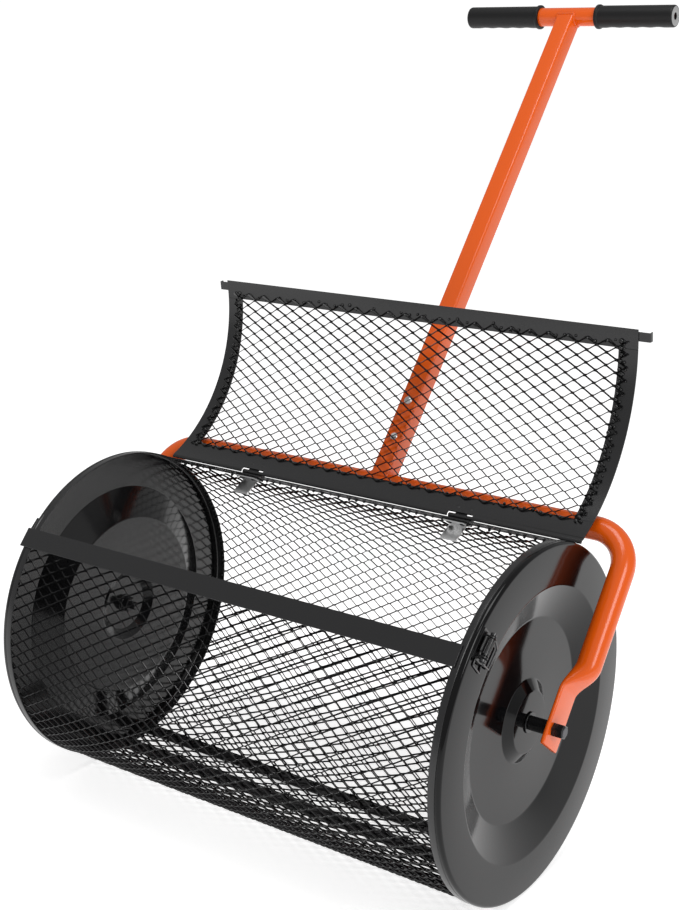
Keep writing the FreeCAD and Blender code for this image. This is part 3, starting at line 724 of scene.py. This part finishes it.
def hinges():
    fixed = Shape()
    moving = Shape()
    pins = Shape()
    fixed_rivets = Shape()
    moving_rivets = Shape()
    for middle in hinge_middles:
        fixed.join(rolled(foot_in, foot_out, foot_from, foot_to, middle - hinge_half, middle + hinge_half,
                          step=0.7))
        for side in (-1, 1):
            inner = middle + side * (knuckle_half + 0.3)
            outer = middle + side * hinge_half
            low, high = min(inner, outer), max(inner, outer)
            fixed.join(rolled(foot_out - 0.2, leaf_top, foot_from, leg_to, low, high))
            fixed.join(rolled(leaf_top - sheet, leaf_top, leg_to - 0.08, 57.5, low, high))
            fixed.join(knuckle(low, high))
        moving.join(rolled(seat, seat + sheet, 59.5, 62.9, middle - hinge_half, middle + hinge_half,
                           step=0.7))
        moving.join(rolled(seat, seat + sheet, 58.2, 59.5, middle - knuckle_half, middle + knuckle_half,
                           step=0.5))
        moving.join(knuckle(middle - knuckle_half, middle + knuckle_half))
        pins.join(rod(Vector((middle - pin_half, hinge_y, hinge_z)),
                      Vector((middle + pin_half, hinge_y, hinge_z)), pin_r - 0.02, chamfer=0.3, sides=24))
        for offset in (-rivet_offset, rivet_offset):
            x = middle + offset
            inward = polar(0, -1, fixed_rivet_angle)
            fixed_rivets.join(dome(polar(x, bracket_in, fixed_rivet_angle), inward, rivet_r, 1.4))
            outward = polar(0, 1, door_rivet_angle)
            moving_rivets.join(dome(polar(x, seat + sheet, door_rivet_angle), outward, rivet_r, 1.5))
            moving_rivets.join(dome(polar(x, rail_in, door_rivet_angle), -outward, 2.4, 0.3))
    make("fixed_leaves", fixed, satin_black, "drum", ["hinge_fixed_leaves"], bevel=0.25)
    make("door_leaves", opened(moving), satin_black, "door", ["hinge_door_leaves"], bevel=0.25)
    make("pins", opened(pins), satin_black, "door", ["hinge_pins"])
    make("fixed_rivet_heads", fixed_rivets, satin_black, "drum", ["hinge_rivets"])
    make("door_rivet_heads", opened(moving_rivets), satin_black, "door", ["door_rivets"])


hinges()


def brackets():
    """Bright angle brackets whose tabs hang into the drum."""
    shape = Shape()
    for middle in hinge_middles:
        shape.join(rolled(bracket_in, bracket_out, bracket_from, foot_to, middle - bracket_half,
                          middle + bracket_half, step=0.8))
        corner = polar(0, bracket_out, bracket_from)
        reach = polar(0, 1, tab_way)
        through = polar(0, 1, tab_way + 90.0)

        def tab_corner(x, a, b):
            return Vector((middle + x, 0, 0)) + corner + reach * a + through * b

        shape.join(box(tab_corner, -11.0, 11.0, 0.0, 27.0, 0.0, sheet))
    make("angle_brackets", shape, plated, "drum", ["hinge_brackets"], bevel=0.3)


brackets()


# ---- weld beads ----
def bead_line(rng, shape, radius, turn_range, x_range, gap, length, fat, skip=0.1):
    """Beads strung along a bar, each a little off the line."""
    low, high = x_range
    x = low
    while x < high:
        if rng.random() > skip:
            turn = rng.uniform(*turn_range)
            bead_r = rng.uniform(*fat)
            bead_height = rng.uniform(*length)
            shape.join(blob(polar(x, radius, turn), polar(0, -1, turn), bead_r, bead_height, rng))
        x += gap * rng.uniform(0.8, 1.2)


def weld_rows():
    """Beads where strand ends meet the rails, the bars and the rim bands."""
    rng = random.Random(7)
    door = Shape()
    rows = int(arc_length(door_to - door_from, door_mesh_r) / (door_cell / 2))
    for i in range(rows + 1):
        s = arc_length(door_from, door_mesh_r) + i * door_cell / 2
        angle = math.degrees(s / door_mesh_r)
        for side in (-1, 1):
            for x_low, x_high, size in ((278.5, 281.5, 1.25), (283.0, 287.5, 0.8)):
                x = side * rng.uniform(x_low, x_high)
                turn = max(angle + rng.uniform(-0.5, 0.5), door_from + 0.9)
                door.join(blob(polar(x, rail_in, turn), polar(0, -1, turn), size * rng.uniform(2.0, 2.6),
                               size * rng.uniform(2.4, 3.2), rng))
    for turns in ((door_from + 0.9, door_from + 2.0), (door_to - 2.6, door_to - 0.3)):
        bead_line(rng, door, rail_in, turns, (-286.0, 286.0), cell_long / 2, (1.8, 3.2), (1.5, 2.4))
    make("door_weld_beads", opened(door), weld_black, "door", sharp=60.0)
    drum = Shape()
    rows = int(arc_length(273.0, drum_mesh_r) / (drum_cell / 2))
    for i in range(rows):
        angle = 138.0 + math.degrees(i * drum_cell / 2 / drum_mesh_r)
        for side in (-1, 1):
            x = side * rng.uniform(294.8, 297.6)
            drum.join(blob(polar(x, 198.5, angle), polar(0, -1, angle), rng.uniform(1.4, 2.4),
                           rng.uniform(1.8, 3.2), rng))
    for turns in ((57.4, 59.8), (265.5, 271.0), (278.4, 282.8)):
        bead_line(rng, drum, 198.4, turns, (-290.0, 290.0), cell_long / 2, (2.2, 3.8), (1.4, 2.3))
    make("drum_weld_beads", drum, weld_black, "drum", sharp=60.0)


weld_rows()


# ---- handle frame ----
def slot_ring(x, u, width, thick, slope, sides=48):
    """Slot-shaped section: width runs square to the handle, thickness across its slope."""
    straight = max(width - thick, 0.0) / 2
    r = thick / 2
    side_way = across * math.cos(slope) - along * math.sin(slope)
    middle = on_frame(x, u)
    ring = []
    for i in range(sides):
        turn = 2 * math.pi * (i + 0.5) / sides
        up = r * math.sin(turn)
        up += straight if up > 0 else -straight
        ring.append(middle + side_way * (r * math.cos(turn)) + square * up)
    return ring


plate_x = 326.0


def blend_value(a, b, t):
    return a + (b - a) * t


def yoke():
    half = []
    for drop, shrink in ((0.0, 4.6), (0.5, 2.6), (1.6, 0.9), (3.0, 0.0)):
        half.append(slot_ring(plate_x, -19.5 + drop, 42.0 - shrink, 5.0, 0.0))
    half.append(slot_ring(plate_x, 20.0, 42.0, 5.0, 0.0))
    half.append(slot_ring(plate_x, 40.0, 42.0, 5.0, 0.0))
    steps = 14
    for i in range(steps + 1):
        t = i / steps
        ease = t * t * (3 - 2 * t)
        u = blend_value(43.0, 79.0, t)
        x = blend_value(plate_x, arm_x, ease)
        thick = blend_value(5.0, 2 * yoke_r, ease)
        width = blend_value(42.0, 2 * yoke_r, ease ** 0.8)
        slope = math.atan2((arm_x - plate_x) * 6 * t * (1 - t), 36.0) * 0.8
        half.append(slot_ring(x, u, max(width, thick), thick, slope))
    half.append(slot_ring(arm_x, 120.0, 28.0, 28.0, 0.0))
    half.append(slot_ring(arm_x, 160.0, 28.0, 28.0, 0.0))
    turns = 14
    top_u = cross_u - bend_r
    for i in range(turns + 1):
        turn = math.pi / 2 * i / turns
        x = arm_x - bend_r + bend_r * math.cos(turn)
        u = top_u + bend_r * math.sin(turn)
        half.append(slot_ring(x, u, 28.0, 28.0, -turn))
    for x in (240.0, 180.0, 120.0, 60.0):
        half.append(slot_ring(x, cross_u, 28.0, 28.0, -math.pi / 2))
    other = []
    for ring in half:
        other.append([Vector((-p.x, p.y, p.z)) for p in ring])
    rings = half + list(reversed(other))
    make("yoke", loft(rings), orange, "handle_frame", ["yoke_tube"], sharp=40.0)


yoke()


def square_ring(u, side, corner, steps=5):
    half = side / 2
    outline = rounded([(half, half, corner), (-half, half, corner),
                       (-half, -half, corner), (half, -half, corner)], steps)
    return [on_frame(a, u, frame_offset + b) for a, b in outline]


def handle():
    stations = (cross_u + 4, 300, 400, 500, 600, 700, 800, 900, tbar_u - 4)
    rings = [square_ring(u, handle_side, 2.6) for u in stations]
    make("handle_square_tube", loft(rings), orange, "handle_frame", ["handle_tube"],
         sharp=50.0)
    middle = on_frame(0, tbar_u)
    outline = rounded([(tbar_bore, -tbar_half, 0), (tbar_r, -tbar_half, 0.4),
                       (tbar_r, tbar_half, 0.4), (tbar_bore, tbar_half, 0)], 2)
    bar = turned(outline, segments=72, y=middle.y, z=middle.z)
    make("cross_handle", bar, orange, "handle_frame", ["t_bar"])


handle()


def weld_ring(axis_u, radius, way_sign):
    """Rippled bead where the square tube meets a round tube."""
    rng = random.Random(int(axis_u))
    points = []
    half = 12.5
    sides = 72
    for i in range(sides):
        turn = 2 * math.pi * i / sides
        a = half * math.copysign(min(1.0, abs(math.cos(turn)) * 1.35), math.cos(turn))
        b = half * math.copysign(min(1.0, abs(math.sin(turn)) * 1.35), math.sin(turn))
        depth = math.sqrt(max(radius ** 2 - min(abs(b), radius - 0.5) ** 2, 0))
        lift = rng.uniform(-0.25, 0.25)
        points.append(on_frame(a + 0.2 * math.copysign(1, a), axis_u + way_sign * (depth + 0.6) + lift,
                               frame_offset + b))
    return tube(points, 1.7, sides=8, closed=True)


def handle_welds():
    beads = weld_ring(cross_u, yoke_r, 1)
    beads.join(weld_ring(tbar_u, tbar_r, -1))
    make("handle_weld_beads", beads, orange, "handle_frame", sharp=60.0)


handle_welds()


def grips():
    middle = on_frame(0, tbar_u)
    down = -square
    body_outline = rounded([
        (12.6, 43.0, 0), (16.36, 43.0, 1.3), (16.36, 47.2, 1.3), (14.7, 48.2, 0.6), (14.6, 153.6, 0),
        (14.0, 156.0, 1.4), (13.4, 156.0, 0), (13.4, 155.4, 0), (4.5, 155.4, 0), (4.5, 153.0, 0),
        (12.6, 153.0, 0)], 3)
    dense = []
    for (r0, x0), (r1, x1) in zip(body_outline, body_outline[1:] + body_outline[:1]):
        spans = max(1, int(abs(x1 - x0) / 1.0))
        for k in range(spans):
            dense.append((r0 + (r1 - r0) * k / spans, x0 + (x1 - x0) * k / spans))
    body = turned(dense, segments=72, y=middle.y, z=middle.z)
    scoops = (66.0, 88.0, 110.0, 132.0)

    def scoop(point):
        """Press four finger hollows into the underside."""
        radial = Vector((0, point.y - middle.y, point.z - middle.z))
        reach = radial.length
        if reach < 13.5 or not 54.0 < point.x < 150.0:
            return point
        facing = radial.normalized().dot(down)
        if facing <= 0:
            return point
        nearest = min(scoops, key=lambda s: abs(s - point.x))
        away = abs(point.x - nearest)
        if away > 11.0:
            return point
        depth = 1.5 * (0.5 + 0.5 * math.cos(math.pi * away / 11.0)) * facing ** 1.5
        return point - radial.normalized() * depth

    body = body.moved(scoop)
    ring_outline = rounded([(4.9, 155.3, 0), (13.3, 155.3, 0), (13.3, 155.9, 0.2), (4.9, 155.9, 0.2)], 2)
    ring = turned(ring_outline, segments=64, y=middle.y, z=middle.z)
    make("hand_grip_right", body, rubber, "handle_frame", ["grip_right"])
    make("hand_grip_left", body.mirrored(), rubber, "handle_frame", ["grip_left"])
    make("grip_end_rings", both_sides(ring), grip_ring, "handle_frame")


grips()


def handle_fasteners():
    heads = Shape()
    washers = Shape()
    nuts = Shape()
    front = frame_offset + handle_side / 2
    back = frame_offset - handle_side / 2
    washer = 1.2
    heads.join(rod(on_frame(0, upper_bolt_u, front), on_frame(0, upper_bolt_u, front + 1.2), 5.5, 0.2))
    heads.join(dome(on_frame(0, upper_bolt_u, front + 1.2), square, 5.3, 2.1))
    heads.join(rod(on_frame(0, lower_bolt_u, front), on_frame(0, lower_bolt_u, front + 1.0), 4.8, 0.4))
    for u in (upper_bolt_u, lower_bolt_u):
        heads.join(rod(on_frame(0, u, back - 7.6), on_frame(0, u, back), 3.0, 0.5))
        washers.join(rod(on_frame(0, u, back - washer), on_frame(0, u, back), 6.0, 0.2))
        nuts.join(hexagon(on_frame(0, u, back - washer), -square, 5.7, 5.0))
    make("handle_bolt_heads", heads, plated, "handle_frame", ["handle_bolts"])
    make("handle_flat_washers", washers, plated, "handle_frame", ["handle_washers"])
    make("handle_lock_nuts", nuts, plated, "handle_frame", ["handle_nuts"], bevel=0.25)


handle_fasteners()


head_seat = 328.5            # the yoke's outer face, where the bolt's head bears
sleeve_to = 323.5
bolt_tip = 276.0
outer_washer = 299.3
inner_washer = 295.7
washer_thick = 1.6
bolt_bore = 5.05


def axles():
    bolts = Shape()
    ends = Shape()
    sleeve_from = outer_washer + washer_thick
    nut_face = inner_washer - washer_thick
    bolts.join(hexagon(across * head_seat, across, 8.1, 13.2, chamfer=0.9, spin_deg=30))
    ends.join(rod(across * 341.2, across * 342.2, 6.2, 0.5, sides=48))
    bolts.join(rod(across * bolt_tip, across * (head_seat + 0.5), 5.0, 0.8))
    sleeve = rod(across * sleeve_from, across * sleeve_to, 8.0, 0.5, sides=56)
    washer = rod(across * outer_washer, across * sleeve_from, 12.0, 0.4, sides=64, bore=bolt_bore)
    inner = rod(across * nut_face, across * inner_washer, 10.0, 0.3, sides=56, bore=bolt_bore)
    nut = hexagon(across * nut_face, -across, 9.8, 8.5, chamfer=1.0)
    make("axle_bolt_shapes", both_sides(bolts), axle_black, "handle_frame", ["axle_bolts"],
         bevel=0.2)
    make("axle_bolt_ends", both_sides(ends), bolt_grey, "handle_frame")
    make("axle_tubes", both_sides(sleeve), axle_black, "handle_frame", ["axle_sleeves"])
    make("axle_flat_washers", both_sides(washer.join(inner)), axle_black, "handle_frame",
         ["axle_washers"])
    make("axle_lock_nuts", both_sides(nut), axle_black, "handle_frame", ["axle_nuts"],
         bevel=0.25)


axles()


# ---- latches ----
latch_pin_half = 16.7
wire_r = 1.0


def latch_parts():
    pins = rod(on_latch(latch_angle, latch_r, -latch_pin_half, latch_x),
               on_latch(latch_angle, latch_r, latch_pin_half, latch_x), 1.48, 0.3, sides=24)
    make("latch_cross_pins", both_sides(pins), wire_steel, "drum", ["latch_pins"])
    heads = Shape()
    for t in (-8.5, 8.5):
        heads.join(dome(on_latch(latch_angle, 175.0, t, rim_face + sheet), across, 2.6, 1.2, sides=28))
    make("latch_rivet_heads", both_sides(heads), latch_black, "drum", ["latch_rivets"])
    level = rim_face + wire_r
    staple = [(188.0, 16.0), (188.0, 22.5), (168.5, 22.5), (172.0, 16.0)]
    path = smooth_path([on_latch(latch_angle, r, t, level) for r, t in staple], 2.0)
    make("latch_staples", both_sides(tube(path, wire_r, sides=14)), wire_steel, "drum",
         ["latch_keepers"])
    for side in ("right", "left"):
        paint_node("latch_base_" + side, latch_black, bevel=0.2)
        paint_node("latch_lever_" + side, latch_black, bevel=0.15)
        paint_node("latch_bail_" + side, wire_steel)


latch_parts()
paint_node("handle_stub", orange)


# ---- floor, light and camera ----
floor_glow = 0.575
studio_level = 0.48          # what the pieces see of the room ...
backdrop_level = 1.05        # ... and what the camera sees behind them


def floor():
    reach = 40.0
    mesh = bpy.data.meshes.new("floor")
    corners = [(-reach, -reach, 0), (reach, -reach, 0), (reach, reach, 0), (-reach, reach, 0)]
    mesh.from_pydata(corners, [], [(0, 1, 2, 3)])
    pale = bpy.data.materials.new("floor_white")
    pale.use_nodes = True
    sockets = pale.node_tree.nodes["Principled BSDF"].inputs
    sockets["Base Color"].default_value = (0.93, 0.93, 0.93, 1)
    sockets["Roughness"].default_value = 0.9
    sockets["Specular IOR Level"].default_value = 0.1
    sockets["Emission Color"].default_value = (1, 1, 1, 1)
    sockets["Emission Strength"].default_value = floor_glow
    mesh.materials.append(pale)
    thing = bpy.data.objects.new("floor", mesh)
    thing.location.z = -0.0005
    bpy.context.scene.collection.objects.link(thing)


def softbox(name, spot, target, width, height, power):
    lamp = bpy.data.lights.new(name, "AREA")
    lamp.shape = "RECTANGLE"
    lamp.size = width
    lamp.size_y = height
    lamp.energy = power
    thing = bpy.data.objects.new(name, lamp)
    thing.location = spot
    thing.rotation_mode = "QUATERNION"
    thing.rotation_quaternion = (Vector(target) - Vector(spot)).to_track_quat("-Z", "Y")
    bpy.context.scene.collection.objects.link(thing)


def lights():
    world = bpy.data.worlds.new("studio")
    world.use_nodes = True
    nodes = world.node_tree.nodes
    room = nodes["Background"]
    room.inputs["Color"].default_value = (1, 1, 1, 1)
    seen = nodes.new("ShaderNodeLightPath")
    level = nodes.new("ShaderNodeMapRange")
    level.inputs["To Min"].default_value = studio_level
    level.inputs["To Max"].default_value = backdrop_level
    world.node_tree.links.new(seen.outputs["Is Camera Ray"], level.inputs["Value"])
    world.node_tree.links.new(level.outputs["Result"], room.inputs["Strength"])
    bpy.context.scene.world = world
    softbox("key", (3.0, -0.9, 2.4), (0, 0, 0.4), 1.0, 1.6, 36)
    softbox("top", (0.2, -0.2, 3.2), (0, 0, 0.3), 1.4, 1.4, 30)


camera_place = (0.964, -1.286, 0.910)
camera_yaw = 35.48
camera_pitch = 15.96
focal_px = 1457.5
long_side_px = 910
sensor = 36.0


def camera():
    lens = bpy.data.cameras.new("camera")
    lens.sensor_width = sensor
    lens.sensor_fit = "AUTO"
    lens.lens = focal_px * sensor / long_side_px
    thing = bpy.data.objects.new("camera", lens)
    yaw = math.radians(camera_yaw)
    pitch = math.radians(camera_pitch)
    ahead = Vector((-math.sin(yaw) * math.cos(pitch), math.cos(yaw) * math.cos(pitch), -math.sin(pitch)))
    thing.location = camera_place
    thing.rotation_mode = "QUATERNION"
    thing.rotation_quaternion = ahead.to_track_quat("-Z", "Y")
    bpy.context.scene.collection.objects.link(thing)
    bpy.context.scene.camera = thing


floor()
lights()
camera()
bpy.context.scene.view_settings.view_transform = "Standard"
